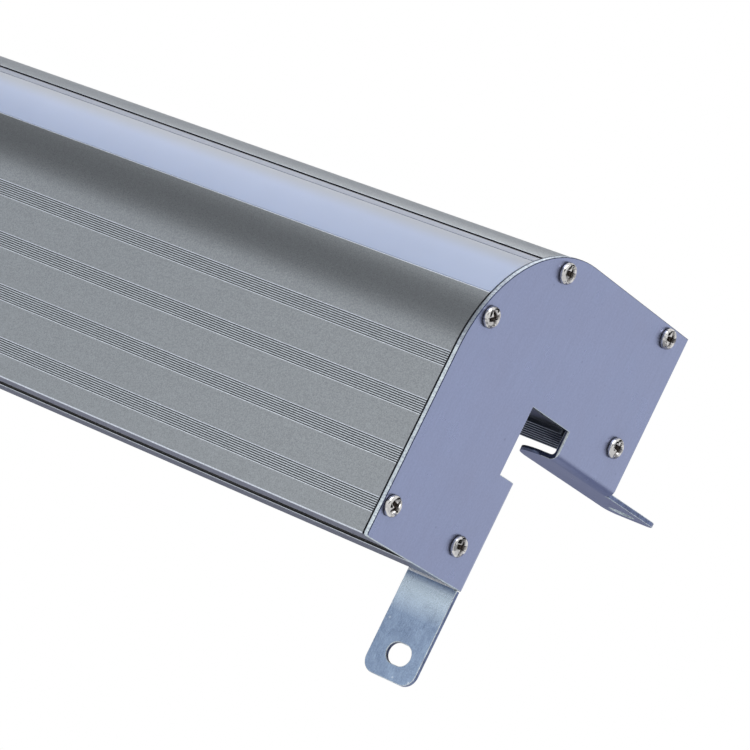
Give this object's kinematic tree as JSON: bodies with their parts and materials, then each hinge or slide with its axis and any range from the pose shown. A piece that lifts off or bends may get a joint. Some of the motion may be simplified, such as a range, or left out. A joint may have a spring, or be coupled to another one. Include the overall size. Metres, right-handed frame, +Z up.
{
  "type": "outdoor wall washer light",
  "caption": "Long outdoor wall washer light with an L-shaped finned profile, a milky light strip in its rounded edge and slotted ears on bent end plates that grip a square corner.",
  "frame": {"origin": "on the edge of the building corner that the lamp sits astride, where the seats of the upright ears (Y = 0) and of the level ears (Z = 0) meet, at the middle of the lamp's length", "axes": "+X along the lamp, towards the end plate seen in the picture; +Y into the building, away from the lamp's grooved front wall; +Z up, away from the foot of the lower leg"},
  "size_m": [1.024, 0.171, 0.171],
  "materials": {
    "housing": "matt anodised",
    "plate_steel": "satin",
    "milky_cover": "milky, translucent",
    "black_rubber": "matt",
    "silicone": "soft matt",
    "screw_steel": "polished",
    "board": "white solder mask",
    "led": "phosphor",
    "white_plastic": "matt",
    "driver_metal": "plain",
    "circuit": "green solder mask",
    "lead": "silicone insulation",
    "black_plastic": "fine matt"
  },
  "bodies": {
    "root": {"housing": "housing", "rubber_strip_foot": "black_rubber", "rubber_strip_rear": "black_rubber", "light_cover": "milky_cover", "cover_seal_upper": "silicone", "cover_seal_lower": "silicone", "end_plate_near": "plate_steel", "end_plate_far": "plate_steel", "end_gasket_near": "black_rubber", "end_gasket_far": "black_rubber", "end_screws_near": "screw_steel", "end_screws_far": "screw_steel", "light_board_1": "board", "light_board_2": "board", "light_board_3": "board", "light_board_4": "board", "led_row_1": "led", "led_row_2": "led", "led_row_3": "led", "led_row_4": "led", "heat_tapes": "silicone", "board_screws": "screw_steel", "board_links": "white_plastic", "feed_plug": "white_plastic", "gear_tray": "plate_steel", "driver_case": "driver_metal", "driver_board": "circuit", "driver_lid": "driver_metal", "driver_screws": "screw_steel", "lid_screws": "screw_steel", "terminal_block": "white_plastic", "terminal_screws": "screw_steel", "driver_leads": "lead", "feed_lead": "lead", "feed_grommet": "black_rubber", "gland_body": "black_plastic", "gland_washer": "black_rubber", "gland_locknut": "black_plastic", "gland_seal": "black_rubber", "gland_cap": "black_plastic"}
  },
  "joints": []
}
